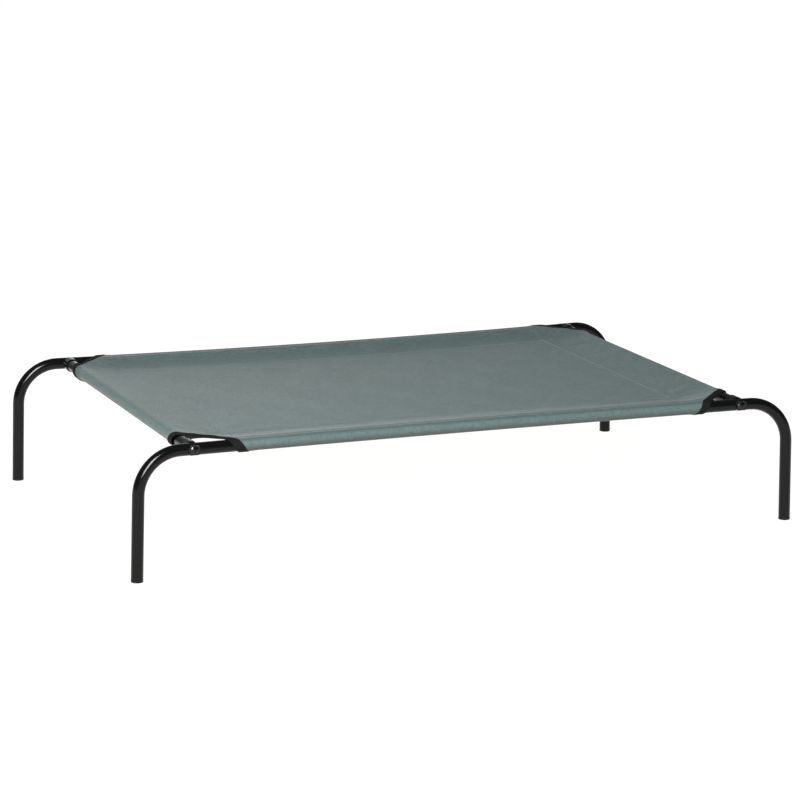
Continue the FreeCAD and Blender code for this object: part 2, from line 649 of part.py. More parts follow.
for corner, end, side in CORNERS:
    make_rail(corner + "_rail", end, side)
for name, end in ENDS.items():
    make_cross_tube(name + "_cross_tube", end)
for name, side in SIDES.items():
    make_joining_sleeve(name + "_joining_sleeve", side)
for corner, end, side in CORNERS:
    make_saddle_spacer(corner + "_saddle_spacer", end, side)
    make_insert_nut(corner + "_insert_nut", end, side)
    make_saddle_washer(corner + "_saddle_washer", end, side)
    make_frame_bolt(corner + "_frame_bolt", end, side)
    make_foot_cap(corner + "_foot_cap", end, side)

cross_sleeves = {end: make_cross_sleeve(name + "_sleeve", end) for name, end in ENDS.items()}
rail_sleeves = {side: make_rail_sleeve(name + "_sleeve", side) for name, side in SIDES.items()}
cloth = doc.addObject("Part::MultiFuse", "cloth")
cloth.Shapes = [make_panel("flat_panel"), *cross_sleeves.values(), *rail_sleeves.values()]
corners_off = doc.addObject("Part::MultiFuse", "corners_off")
corners_off.Shapes = [
    corner_block(corner + "_corner_off", end, side, BINDING_EDGE, "2 * sizes.sleeve_reach")
    for corner, end, side in CORNERS
]
keep(join("Cut", "sling", cloth, corners_off), "sling")
for corner, end, side in CORNERS:
    name = corner + "_corner_binding"
    band = corner_block(corner + "_band", end, side, BINDING_EDGE, "sizes.binding_run / sqrt(2)")
    on_rail = join("Common", name + "_on_rail", rail_sleeves[side], band)
    on_cross = join("Common", name + "_on_cross", cross_sleeves[end], band)
    keep(join("Fuse", name, on_rail, on_cross), name)
doc.recompute()

# --- checks and files -----------------------------------------------------------------------

for item in doc.Objects:
    if "Invalid" in item.State or "Error" in item.State:
        raise RuntimeError(item.Name + " failed to build")
for part in subparts:
    if part.Shape.isNull() or not part.Shape.isValid():
        raise RuntimeError(part.Label + " has no valid shape")
for part in subparts:
    part.Shape.exportStep(os.path.join("parts", part.Label + ".step"))
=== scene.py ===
import json
import math

import bmesh
import bpy
import numpy as np
from mathutils import Matrix, Vector


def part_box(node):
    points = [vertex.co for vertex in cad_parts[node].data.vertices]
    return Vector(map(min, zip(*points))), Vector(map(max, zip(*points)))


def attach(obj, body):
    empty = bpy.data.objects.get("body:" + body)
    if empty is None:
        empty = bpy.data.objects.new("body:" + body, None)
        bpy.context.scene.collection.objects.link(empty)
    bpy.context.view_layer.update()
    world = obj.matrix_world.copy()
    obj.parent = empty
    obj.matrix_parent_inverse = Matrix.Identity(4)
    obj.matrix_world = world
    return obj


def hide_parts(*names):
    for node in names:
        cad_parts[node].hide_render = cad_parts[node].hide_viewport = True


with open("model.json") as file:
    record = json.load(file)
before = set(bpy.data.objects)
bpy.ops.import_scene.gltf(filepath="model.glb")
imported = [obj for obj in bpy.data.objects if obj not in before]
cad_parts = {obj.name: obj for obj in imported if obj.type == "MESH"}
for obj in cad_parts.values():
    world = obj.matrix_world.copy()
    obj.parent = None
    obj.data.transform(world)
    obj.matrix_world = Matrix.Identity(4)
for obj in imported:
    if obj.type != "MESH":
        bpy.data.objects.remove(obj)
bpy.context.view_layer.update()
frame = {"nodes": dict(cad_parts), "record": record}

# Raised dog bed: a woven sling on a black tube frame. Metres. X along the bed, Y across it,
# Z up; front is -Y, left is -X.

MM = 0.001

# Name, end (-1 is left) and side (-1 is front) of each corner.
CORNERS = [
    ("front_left", -1, -1),
    ("front_right", 1, -1),
    ("back_left", -1, 1),
    ("back_right", 1, 1),
]

# How far short of the crests' meeting point each corner's cut leaves its rail's crest.
RAIL_RUN = {
    "front_left": 64 * MM,
    "front_right": 57 * MM,
    "back_left": 57 * MM,
    "back_right": 57 * MM,
}
scene = bpy.context.scene
nodes = frame["nodes"]


# --- camera ---------------------------------------------------------------------------------

CAMERA_LENS = 139.29
CAMERA_AZIMUTH = math.radians(-22.376)
CAMERA_ELEVATION = math.radians(12.600)
CAMERA_ROLL = math.radians(0.714)
CAMERA_DISTANCE = 5.9705
CAMERA_SIDEWAYS = 0.0095
CAMERA_UPWARDS = 0.1906


def make_camera():
    """Long-lens view from the front left, a little above the sling."""
    flat = math.cos(CAMERA_ELEVATION)
    back = Vector((
        math.sin(CAMERA_AZIMUTH) * flat,
        -math.cos(CAMERA_AZIMUTH) * flat,
        math.sin(CAMERA_ELEVATION),
    ))
    right = Vector((math.cos(CAMERA_AZIMUTH), math.sin(CAMERA_AZIMUTH), 0))
    up = back.cross(right)
    data = bpy.data.cameras.new("camera")
    data.lens = CAMERA_LENS
    data.sensor_width = 36
    data.clip_start = 0.1
    data.clip_end = 200
    camera = bpy.data.objects.new("camera", data)
    scene.collection.objects.link(camera)
    place = back * CAMERA_DISTANCE + right * CAMERA_SIDEWAYS + up * CAMERA_UPWARDS
    upright = Matrix((right, up, back)).transposed()
    roll = Matrix.Rotation(CAMERA_ROLL, 3, "Z")
    camera.matrix_world = Matrix.Translation(place) @ (upright @ roll).to_4x4()
    scene.camera = camera


make_camera()


# --- the frame's measures -------------------------------------------------------------------

def node_points(name):
    """A CAD node's vertices at rest, one row each."""
    mesh = nodes[name].data
    points = np.empty(len(mesh.vertices) * 3)
    mesh.vertices.foreach_get("co", points)
    return points.reshape(-1, 3)


def rail_centre(near, far):
    """Distance from the bed's centre line, and height, of a rail's axis between two X places."""
    points = node_points("front_right_rail")
    ring = points[(points[:, 0] >= near) & (points[:, 0] <= far)]
    low, high = ring.min(0), ring.max(0)
    return -(low[1] + high[1]) / 2, (low[2] + high[2]) / 2


cross_low, cross_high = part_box("right_cross_tube")
TUBE_RADIUS = (cross_high.z - cross_low.z) / 2
CROSS_REACH = (cross_high.x + cross_low.x) / 2
RAIL_HEIGHT = (cross_high.z + cross_low.z) / 2
MID_REACH, MID_HEIGHT = rail_centre(-1 * MM, 1 * MM)
# The side rails bow outwards and up in a shallow curve that ends here.
ARC_END = 518 * MM
END_REACH, END_HEIGHT = rail_centre(ARC_END - 4 * MM, ARC_END + 4 * MM)


def rail_reach(x):
    """Distance of a side rail's axis from the bed's centre line, at X."""
    return MID_REACH + (END_REACH - MID_REACH) * (x / ARC_END) ** 2


def rail_height(x):
    """Height of a side rail's axis at X."""
    return MID_HEIGHT + (END_HEIGHT - MID_HEIGHT) * (x / ARC_END) ** 2


# --- sling cloth: flat cut to shape ---------------------------------------------------------
# The cloth is a rectangle with its corners cut off at 45 degrees. Each side goes over a tube,
# comes back underneath and is sewn to the panel along the seam. A cloth place is (u, v) on the
# flat cut, with u along the bed.

CLOTH_THICK = 0.55 * MM
TUBE_GAP = 0.25 * MM
WRAP_RADIUS = TUBE_RADIUS + TUBE_GAP + CLOTH_THICK / 2

# The seam: how far inside each tube's axis it runs, how far below it, and the hem past it.
SEAM_REACH = 93 * MM
SEAM_DROP = 1.0 * MM
FLAP_GAP = 2.2 * CLOTH_THICK
HEM = 9 * MM
SEAM_U = CROSS_REACH - SEAM_REACH
SEAM_V = END_REACH - SEAM_REACH

# The corners: the cut's run along the cross tube, the tape over it and the curl of its edge.
CROSS_RUN = 64 * MM
MITRE_SOFT = 0.35 * MM
TAPE_WIDTH = 12.5 * MM
TAPE_THICK = 0.6 * MM
CURL_DROP = 0.9 * MM
CURL_WIDTH = 20 * MM
CURL_FREE = 22 * MM
LIP_DROP = 8.5 * MM
LIP_WIDTH = 11 * MM
LIP_START = 10 * MM
LIP_RUN = 21 * MM
LOOSE = 1.8 * MM
LOOSE_RUN = 12 * MM
CORNER_PULL = 34 * MM
WRAP_SHEAR = 0.28

# The slopes: their slack, the ridge just before a side rail and the crease off each corner.
END_SAG = 2.0 * MM
SIDE_SAG = 1.5 * MM
SIDE_RIDGE = 2.4 * MM
RIDGE_BACK = 16 * MM
RIDGE_WIDTH = 12 * MM
CREASE_ANGLE = math.radians(19)
CREASE_RISE = 1.1 * MM

# The unevenness of stretched cloth: heights of its waves.
FAN_RISE = 0.6 * MM
PANEL_RISE = 0.25 * MM
SLOPE_RISE = 0.22 * MM
MID_LIFT = 0.4 * MM


class Sleeve:
    """Path of the cloth across a sleeve, from the seam over the tube and back under it."""

    def __init__(self):
        span = math.hypot(SEAM_REACH, SEAM_DROP)
        under = SEAM_DROP + FLAP_GAP
        under_span = math.hypot(SEAM_REACH, under)
        self.rise = math.atan2(SEAM_DROP, SEAM_REACH) + math.asin(WRAP_RADIUS / span)
        self.fall = math.asin(WRAP_RADIUS / under_span) - math.atan2(under, SEAM_REACH)
        self.slope = math.sqrt(span**2 - WRAP_RADIUS**2)
        self.arc = WRAP_RADIUS * (math.pi + self.rise + self.fall)
        self.flap = math.sqrt(under_span**2 - WRAP_RADIUS**2)
        self.total = self.slope + self.arc + self.flap + HEM
        self.crest = self.slope + WRAP_RADIUS * self.rise
        self.brow = WRAP_RADIUS * math.cos(self.rise)

    def place(self, t, sag, ridge):
        """Outward distance from the seam and height over the tube's axis, t along the cloth.

        The slope hangs in the middle by the sag and rises in a ridge just before the tube.
        """
        t = np.asarray(t, float)
        out = np.where(t < 0, t, 0.0)
        height = np.full(t.shape, -SEAM_DROP)
        rising = (t >= 0) & (t < self.slope)
        out = np.where(rising, t * math.cos(self.rise), out)
        part = t / self.slope
        bulge = ridge * np.exp(-(((self.slope - RIDGE_BACK - t) / RIDGE_WIDTH) ** 2))
        bulge = bulge * smooth_step((self.slope - t) / RIDGE_WIDTH) - sag * 4 * part * (1 - part)
        height = np.where(rising, -SEAM_DROP + t * math.sin(self.rise) + bulge, height)
        round_tube = (t >= self.slope) & (t < self.slope + self.arc)
        turn = math.pi / 2 + self.rise - (t - self.slope) / WRAP_RADIUS
        out = np.where(round_tube, SEAM_REACH + WRAP_RADIUS * np.cos(turn), out)
        height = np.where(round_tube, WRAP_RADIUS * np.sin(turn), height)
        left = self.slope + self.arc + self.flap - t
        under = -SEAM_DROP - FLAP_GAP
        returning = (t >= self.slope + self.arc) & (left >= 0)
        out = np.where(returning, left * math.cos(self.fall), out)
        height = np.where(returning, under - left * math.sin(self.fall), height)
        hemmed = left < 0
        out = np.where(hemmed, left, out)
        height = np.where(hemmed, under, height)
        return out, height


SLEEVE = Sleeve()
HALF_U = SEAM_U + SLEEVE.total
HALF_V = SEAM_V + SLEEVE.total
CREST_U = SEAM_U + SLEEVE.crest
CREST_V = SEAM_V + SLEEVE.crest


def soft_max(a, b, width):
    """The larger of two heights, rounded over where they are nearly equal."""
    return (a + b + np.sqrt((a - b) ** 2 + width**2)) / 2


def smooth_step(value):
    """Eases from 0 to 1 as the value does."""
    value = np.clip(value, 0, 1)
    return value * value * (3 - 2 * value)


def hump(value):
    """Rises from 0 to 1 and back to 0 as the value goes from 0 to 1."""
    return np.sin(np.pi * np.clip(value, 0, 1)) ** 2


def cut_line(corner, end, side):
    """The middle of a corner's cut edge on the flat cloth, its direction, and inwards.

    The edge leaves the rail's crest RAIL_RUN short of where the crests would meet, and the
    cross tube's crest CROSS_RUN short of it.
    """
    on_rail = np.array([end * (CREST_U - RAIL_RUN[corner]), side * CREST_V])
    on_cross = np.array([end * CREST_U, side * (CREST_V - CROSS_RUN)])
    along = (on_cross - on_rail) / np.linalg.norm(on_cross - on_rail)
    inwards = np.array([along[1], -along[0]]) * end * side
    return (on_rail + on_cross) / 2, along, inwards


def from_cut(u, v):
    """Distance from the nearest cut-off corner's edge, inwards."""
    distance = np.full(np.broadcast(u, v).shape, 1.0)
    for corner, end, side in CORNERS:
        middle, _, inwards = cut_line(corner, end, side)
        gap = (u - middle[0]) * inwards[0] + (v - middle[1]) * inwards[1]
        distance = np.where((u * end > 0) & (v * side > 0), gap, distance)
    return distance


def ripple(u, v):
    """Small unevenness of the stretched cloth: creases from the corners and slack waves."""
    past_u = np.abs(u) - SEAM_U
    past_v = np.abs(v) - SEAM_V
    reach = np.hypot(past_u, past_v)
    angle = np.arctan2(past_v, past_u)
    hand = np.sign(u) + 2 * np.sign(v)
    fan = np.sin(11 * angle + 1.7 * hand + 2 * np.sin(40 * u + 3))
    corner = FAN_RISE * fan * np.exp(-((reach / 0.07) ** 2)) * smooth_step(reach / 0.02)
    slack = np.sin(31 * u + 1.3) * np.sin(27 * v + 0.4) + 0.6 * np.sin(63 * u + 17 * v)
    panel = PANEL_RISE * slack * smooth_step(-np.maximum(past_u, past_v) / 0.05)
    long_pull = np.sin(95 * u + 38 * np.sin(9 * u + 1)) + 0.7 * np.sin(210 * u + 60 * v)
    long_side = SLOPE_RISE * long_pull * hump(past_v / SLEEVE.slope)
    short_pull = np.sin(120 * v + 30 * np.sin(11 * v)) + 0.6 * np.sin(230 * v + 50 * u)
    short_side = SLOPE_RISE * short_pull * hump(past_u / SLEEVE.slope)
    side_step = past_v * math.cos(CREASE_ANGLE) - past_u * math.sin(CREASE_ANGLE)
    crease = CREASE_RISE * smooth_step(side_step / 0.018 + 0.2) * smooth_step(past_u / 0.03)
    crease = crease * (past_u > 0) * smooth_step((SLEEVE.slope - past_v) / 0.05)
    return corner + panel + long_side + short_side + crease


def curl(u, v, past_u, past_v):
    """How far the free edge across a corner turns down, most beside the cross tube."""
    free = smooth_step((SLEEVE.slope - np.maximum(past_u, past_v)) / CURL_FREE)
    near = np.clip(1 - from_cut(u, v) / CURL_WIDTH, 0, 1.2)
    beside = SLEEVE.slope - past_u
    fade = np.exp(-((np.clip(beside, 0, 1) / LIP_RUN) ** 2))
    lip = LIP_DROP * smooth_step(beside / LIP_START) * fade
    edge = np.clip(1 - from_cut(u, v) / LIP_WIDTH, 0, 1.1)
    return CURL_DROP * free * near**1.7 + lip * edge**2 * (past_v < SLEEVE.slope)


def shear(past, along, seam):
    """How far the cloth wrapped on a tube is pulled along it, towards the corner."""
    wrapped = np.clip(past - SLEEVE.crest, 0, SLEEVE.arc)
    return WRAP_SHEAR * wrapped * smooth_step(np.abs(along) / seam)


def cloth_shape(u, v):
    """Points in space of the cloth's middle layer, for places on the flat cut."""
    u = np.asarray(u, float)
    v = np.asarray(v, float)
    past_u = np.abs(u) - SEAM_U
    past_v = np.abs(v) - SEAM_V
    out_u, high_u = SLEEVE.place(past_u, END_SAG, 0)
    x = np.sign(u) * (np.where(past_u < 0, np.abs(u), SEAM_U + out_u) + shear(past_v, u, SEAM_U))
    out_v, high_v = SLEEVE.place(past_v, SIDE_SAG, SIDE_RIDGE)
    seam_y = rail_reach(x) - SEAM_REACH
    y = np.where(past_v < 0, np.abs(v) / SEAM_V * seam_y, seam_y + out_v)
    y = np.sign(v) * (y + shear(past_u, v, SEAM_V))
    z_cross = RAIL_HEIGHT + high_u
    z_rail = rail_height(x) + high_v
    mid = smooth_step(np.abs(v) / SEAM_V) * rail_height(x)
    mid = mid + (1 - smooth_step(np.abs(v) / SEAM_V)) * (MID_HEIGHT + MID_LIFT)
    ends = smooth_step(np.abs(u) / SEAM_U) ** 2
    panel = mid * (1 - ends) + RAIL_HEIGHT * ends - SEAM_DROP
    z_cross_top = np.where(past_u < 0, panel, z_cross)
    z_rail_top = np.where(past_v < 0, panel, z_rail)
    top = soft_max(z_cross_top, z_rail_top, MITRE_SOFT) - MITRE_SOFT / 2
    taut = np.exp(-((np.clip(from_cut(u, v), 0, 1) / CORNER_PULL) ** 2))
    taut = taut * ((past_u > 0) & (past_v > 0))
    top = top + taut * (RAIL_HEIGHT + SLEEVE.brow - top)
    top = top + ripple(u, v) - curl(u, v, past_u, past_v)
    wrapped = np.where(past_v > SLEEVE.slope, z_rail, top)
    z = np.where(past_u > SLEEVE.slope, z_cross, wrapped)
    return np.stack([x, y, z], axis=-1)


def cloth_surface(u, v, height=0.0):
    """Points at a height over the cloth's middle layer, which lifts where it holds the tape."""
    step = 0.25 * MM
    across_u = cloth_shape(u + step, v) - cloth_shape(u - step, v)
    across_v = cloth_shape(u, v + step) - cloth_shape(u, v - step)
    normal = np.cross(across_u, across_v)
    normal /= np.linalg.norm(normal, axis=-1, keepdims=True)
    by_tape = smooth_step(2 - from_cut(u, v) / TAPE_WIDTH)
    lift = (TAPE_THICK + 0.1 * MM) * by_tape
    lift = lift + LOOSE * by_tape * smooth_step((np.abs(u) - CREST_U) / LOOSE_RUN)
    return cloth_shape(u, v) + normal * (lift + height)[..., None]


def lines_across(seam):
    """Places of the grid's lines along one half of the cut, close together round the tube."""
    spans = [
        (0, seam, 9.5 * MM),
        (seam, seam + SLEEVE.slope - 30 * MM, 6 * MM),
        (seam + SLEEVE.slope - 30 * MM, seam + SLEEVE.slope, 3 * MM),
        (seam + SLEEVE.slope, seam + SLEEVE.slope + SLEEVE.arc, 2.0 * MM),
        (seam + SLEEVE.slope + SLEEVE.arc, seam + SLEEVE.total - HEM, 11 * MM),
        (seam + SLEEVE.total - HEM, seam + SLEEVE.total, HEM),
    ]
    half = [0.0]
    for start, end, step in spans:
        count = max(1, math.ceil((end - start) / step - 1e-6))
        half += list(np.linspace(start, end, count + 1)[1:])
    half = np.array(half)
    return np.concatenate([-half[:0:-1], half])


def flat_cut():
    """The flat cloth as a bmesh of quads with its corners cut off and its mitre lines marked."""
    us = lines_across(SEAM_U)
    vs = lines_across(SEAM_V)
    bm = bmesh.new()
    grid = [[bm.verts.new((u, v, 0)) for v in vs] for u in us]
    for i in range(len(us) - 1):
        for j in range(len(vs) - 1):
            middle = abs(us[i] + us[i + 1]) / 2 + abs(vs[j] + vs[j + 1]) / 2
            if middle < CREST_U + CREST_V:
                bm.faces.new((grid[i][j], grid[i + 1][j], grid[i + 1][j + 1], grid[i][j + 1]))
    bmesh.ops.delete(bm, geom=[v for v in bm.verts if not v.link_faces], context="VERTS")
    for corner, end, side in CORNERS:
        start, _, inwards = cut_line(corner, end, side)
        bmesh.ops.bisect_plane(
            bm, geom=bm.verts[:] + bm.edges[:] + bm.faces[:], dist=1e-6,
            plane_co=(*start, 0), plane_no=(*-inwards, 0), clear_outer=True,
        )
        zone = [f for f in bm.faces if in_mitre(f, end, side)]
        around = {e for f in zone for e in f.edges}
        points = {v for f in zone for v in f.verts}
        bmesh.ops.bisect_plane(
            bm, geom=[*points, *around, *zone], dist=1e-6,
            plane_co=(end * SEAM_U, side * SEAM_V, 0),
            plane_no=Vector((end, -side, 0)).normalized(),
        )
    return bm


def in_mitre(face, end, side):
    """True for a face of the corner square where two sleeves' slopes meet."""
    middle = face.calc_center_median()
    u, v = middle.x * end - SEAM_U, middle.y * side - SEAM_V
    return 0 < u < SLEEVE.slope and 0 < v < SLEEVE.slope


def add_object(name, mesh):
    """A mesh as an object that rides on the bed."""
    piece = bpy.data.objects.new(name, mesh)
    scene.collection.objects.link(piece)
    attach(piece, "root")
    return piece


def mesh_arrays(name, points, faces, smooth=True):
    """A mesh from arrays of points and lists of corners."""
    mesh = bpy.data.meshes.new(name)
    mesh.from_pydata([tuple(p) for p in points], [], faces)
    mesh.validate()
    if smooth:
        mesh.polygons.foreach_set("use_smooth", [True] * len(mesh.polygons))
    mesh.update()
    return mesh


def store_places(mesh, places):
    """Keep each vertex's place on the flat cloth, which the weave follows."""
    layer = mesh.attributes.new("cloth_place", "FLOAT_VECTOR", "POINT")
    layer.data.foreach_set("vector", np.asarray(places, float).ravel())


def make_sling():
    """Both faces of the cloth with the cut edge closed between them."""
    bm = flat_cut()
    bm.verts.index_update()
    flat = np.array([v.co[:2] for v in bm.verts])
    faces = [[v.index for v in f.verts] for f in bm.faces]
    loops = [e.link_loops[0] for e in bm.edges if e.is_boundary]
    rim = [[loop.vert.index, loop.link_loop_next.vert.index] for loop in loops]
    bm.free()
    half = np.full(len(flat), CLOTH_THICK / 2)
    upper = cloth_surface(flat[:, 0], flat[:, 1], half)
    lower = cloth_surface(flat[:, 0], flat[:, 1], -half)
    count = len(flat)
    points = np.concatenate([upper, lower])
    both = faces + [[i + count for i in reversed(f)] for f in faces]
    both += [[b, a, a + count, b + count] for a, b in rim]
    mesh = mesh_arrays("sling_cloth", points, both)
    places = np.concatenate([flat, flat])
    store_places(mesh, np.column_stack([places, np.zeros(len(places))]))
    return add_object("sling_cloth", mesh)


# --- corner bindings and stitches -----------------------------------------------------------

def cut_span(middle, along):
    """Where the cut edge starts and stops at the two hems, measured from its middle."""
    start = -(HALF_V - abs(middle[1])) / abs(along[1])
    return start, (HALF_U - abs(middle[0])) / abs(along[0])


TAPE_GAP = 0.05 * MM
TAPE_STEP = 2.2 * MM


def tape_section():
    """The folded tape's outline: places as (distance inwards, height over the cloth)."""
    inner = CLOTH_THICK / 2 + TAPE_GAP
    outer = inner + TAPE_THICK
    across = np.linspace(TAPE_WIDTH, 0, 6)
    turns = np.linspace(math.pi / 2, -math.pi / 2, 7)[1:-1]
    outline = [(s, outer) for s in across]
    outline += [(-outer * math.cos(turn), outer * math.sin(turn)) for turn in turns]
    outline += [(s, -outer) for s in across[::-1]]
    outline += [(s, -inner) for s in across]
    outline += [(-inner * math.cos(turn), inner * math.sin(turn)) for turn in turns[::-1]]
    outline += [(s, inner) for s in across[::-1]]
    return np.array(outline)


def make_binding(corner, end, side):
    """Tape folded over a corner's cut edge, from hem to hem."""
    middle, along, inwards = cut_line(corner, end, side)
    start, stop = cut_span(middle, along)
    stations = np.linspace(start, stop, math.ceil((stop - start) / TAPE_STEP))
    section = tape_section()
    q, s = np.meshgrid(stations, section[:, 0], indexing="ij")
    height = np.broadcast_to(section[:, 1], q.shape)
    places = middle + q[..., None] * along + s[..., None] * inwards
    points = cloth_surface(places[..., 0], places[..., 1], height).reshape(-1, 3)
    rows, width = len(stations), len(section)
    faces = []
    for i in range(rows - 1):
        for j in range(width):
            k = (j + 1) % width
            quad = [i * width + j, i * width + k, (i + 1) * width + k, (i + 1) * width + j]
            faces.append(quad if end * side > 0 else quad[::-1])
    first = list(range(width))
    last = [(rows - 1) * width + j for j in range(width)]
    faces += [first[::-1], last] if end * side > 0 else [first, last[::-1]]
    name = corner + "_binding_tape"
    mesh = mesh_arrays(name, points, faces)
    tape_places = np.stack([q, s + np.sign(height) * TAPE_WIDTH, height], axis=-1)
    store_places(mesh, tape_places.reshape(-1, 3))
    piece = add_object(name, mesh)
    return piece


THREAD_RADIUS = 0.3 * MM
THREAD_SIDES = 5
THREAD_RINGS = np.array([0.0, 0.12, 0.5, 0.88, 1.0])
THREAD_RISE = np.array([-0.6, 0.35, 0.8, 0.35, -0.6])
THREAD_GIRTH = np.array([0.55, 0.95, 1.0, 0.95, 0.55])


def thread_mesh(name, starts, ends, normals):
    """One mesh of many short stitches, each a thread that dips into the cloth at its ends."""
    along = ends - starts
    lengths = np.linalg.norm(along, axis=1, keepdims=True)
    along = along / lengths
    side = np.cross(normals, along)
    side /= np.linalg.norm(side, axis=1, keepdims=True)
    up = np.cross(along, side)
    turn = np.linspace(0, 2 * math.pi, THREAD_SIDES, endpoint=False)
    centre = starts[:, None] + along[:, None] * lengths[:, None] * THREAD_RINGS[:, None]
    centre = centre + up[:, None] * (THREAD_RADIUS * THREAD_RISE)[:, None]
    ring = side[:, None, None] * np.cos(turn)[:, None] + up[:, None, None] * np.sin(turn)[:, None]
    points = centre[:, :, None] + ring * (THREAD_RADIUS * THREAD_GIRTH)[:, None, None]
    rings = len(THREAD_RINGS)
    pattern = []
    for i in range(rings - 1):
        for j in range(THREAD_SIDES):
            k = (j + 1) % THREAD_SIDES
            a, b = i * THREAD_SIDES, (i + 1) * THREAD_SIDES
            pattern.append([a + j, a + k, b + k, b + j])
    size = rings * THREAD_SIDES
    caps = [list(range(THREAD_SIDES))[::-1], list(range(size - THREAD_SIDES, size))]
    faces = [[n * size + i for i in face] for n in range(len(starts)) for face in pattern + caps]
    return mesh_arrays(name, points.reshape(-1, 3), faces)


def stitch_row(places, height, name):
    """Stitches from each place to the next, for rows of (start, end) on the flat cloth."""
    starts = cloth_surface(places[:, 0, 0], places[:, 0, 1], height)
    ends = cloth_surface(places[:, 1, 0], places[:, 1, 1], height)
    inside = cloth_surface(places[:, 0, 0], places[:, 0, 1], height - np.sign(height) * 0.2 * MM)
    normals = starts - inside
    return thread_mesh(name, starts, ends, normals)


SEAM_PITCH = 4.4 * MM
SEAM_WIDTH = 3.0 * MM


def seam_places(under):
    """Zigzag stitches round the seam: starts and ends on the flat cloth, and their heights."""
    rows, heights = [], []
    fold = SLEEVE.total - HEM
    for seam, across_seam, along_v in [(SEAM_U, SEAM_V, False), (SEAM_V, SEAM_U, True)]:
        count = round(4 * seam / SEAM_PITCH)
        line = np.linspace(-seam, seam, count + 1)
        offset = SEAM_WIDTH * (np.arange(count + 1) % 2 - 0.5)
        for side in (-1, 1):
            zigzag = across_seam + offset
            height = np.full(count, CLOTH_THICK / 2 * (-1 if under else 1))
            if under:
                hem = np.full(line.shape, side * (across_seam + fold))
                place = (hem, line) if along_v else (line, hem)
                on_flap = from_cut(*place) > 0
                zigzag = np.where(on_flap, across_seam + fold - offset, zigzag)
                height = np.where(on_flap[1:], -height, height)
            keep = np.abs(np.diff(zigzag)) < 2 * SEAM_WIDTH
            path = np.stack([line, side * zigzag], axis=1)
            path = path[:, ::-1] if along_v else path
            rows.append(np.stack([path[:-1], path[1:]], axis=1)[keep])
            heights.append(height[keep])
    return np.concatenate(rows), np.concatenate(heights)


def make_seam(name, under):
    """The seam's zigzag thread on the panel's top, or on the hem underneath."""
    places, height = seam_places(under)
    piece = add_object(name, stitch_row(places, height, name))
    return piece


STITCH_LENGTH = 3.1 * MM
STITCH_GAP = 0.5 * MM
STITCH_INSET = 2.6 * MM


def make_binding_stitches(corner, end, side):
    """A straight row of stitches along each face of a corner's tape."""
    middle, along, inwards = cut_line(corner, end, side)
    start, stop = cut_span(middle, along)
    begins = np.arange(start + 4 * MM, stop - 6 * MM, STITCH_LENGTH + STITCH_GAP)
    row = np.stack([begins, begins + STITCH_LENGTH], axis=1)
    inset = TAPE_WIDTH - STITCH_INSET
    places = middle + row[..., None] * along + inset * inwards
    surface = CLOTH_THICK / 2 + TAPE_THICK + TAPE_GAP
    both = np.concatenate([places, places])
    height = np.repeat([surface, -surface], len(places))
    name = corner + "_binding_stitches"
    piece = add_object(name, stitch_row(both, height, name))
    return piece


# --- floor and light ------------------------------------------------------------------------

def new_material(name):
    """A node material, its tree and its Principled shader."""
    material = bpy.data.materials.new(name)
    material.use_nodes = True
    tree = material.node_tree
    shader = next(node for node in tree.nodes if node.type == "BSDF_PRINCIPLED")
    return material, tree, shader


FLOOR_SIZE = 60
FLOOR_SHADE = (0.1, 0.1, 0.1, 1)
FLOOR_LIGHT = (1.0, 0.98, 0.965, 1)
FLOOR_GLOW = 1.01
ROOM = (0.13, 0.16, 0.165, 1)
BACKDROP = (1.8, 1.8, 1.8, 1)
BACKDROP_TOWARDS = (0.10, 0.995, 0)
BACKDROP_TOP = 0.25
BACKDROP_FADE = 0.38
KEY_FROM = Vector((-0.423, -0.701, 0.555)).normalized()
KEY_DISTANCE = 4.0
KEY_WIDTH = 1.25
KEY_TALL = 2.7
KEY_POWER = 425
KEY_COLOUR = (1.0, 0.99, 0.97)


def make_floor():
    """Wide plain floor of a lit white studio sweep."""
    size = FLOOR_SIZE
    corners = [(-size, -size, 0), (size, -size, 0), (size, size, 0), (-size, size, 0)]
    mesh = mesh_arrays("floor", corners, [[0, 1, 2, 3]], smooth=False)
    floor = bpy.data.objects.new("floor", mesh)
    scene.collection.objects.link(floor)
    material, _, shader = new_material("floor_paper")
    shader.inputs["Base Color"].default_value = FLOOR_SHADE
    shader.inputs["Roughness"].default_value = 0.9
    shader.inputs["Specular IOR Level"].default_value = 0.1
    shader.inputs["Emission Color"].default_value = FLOOR_LIGHT
    shader.inputs["Emission Strength"].default_value = FLOOR_GLOW
    mesh.materials.append(material)


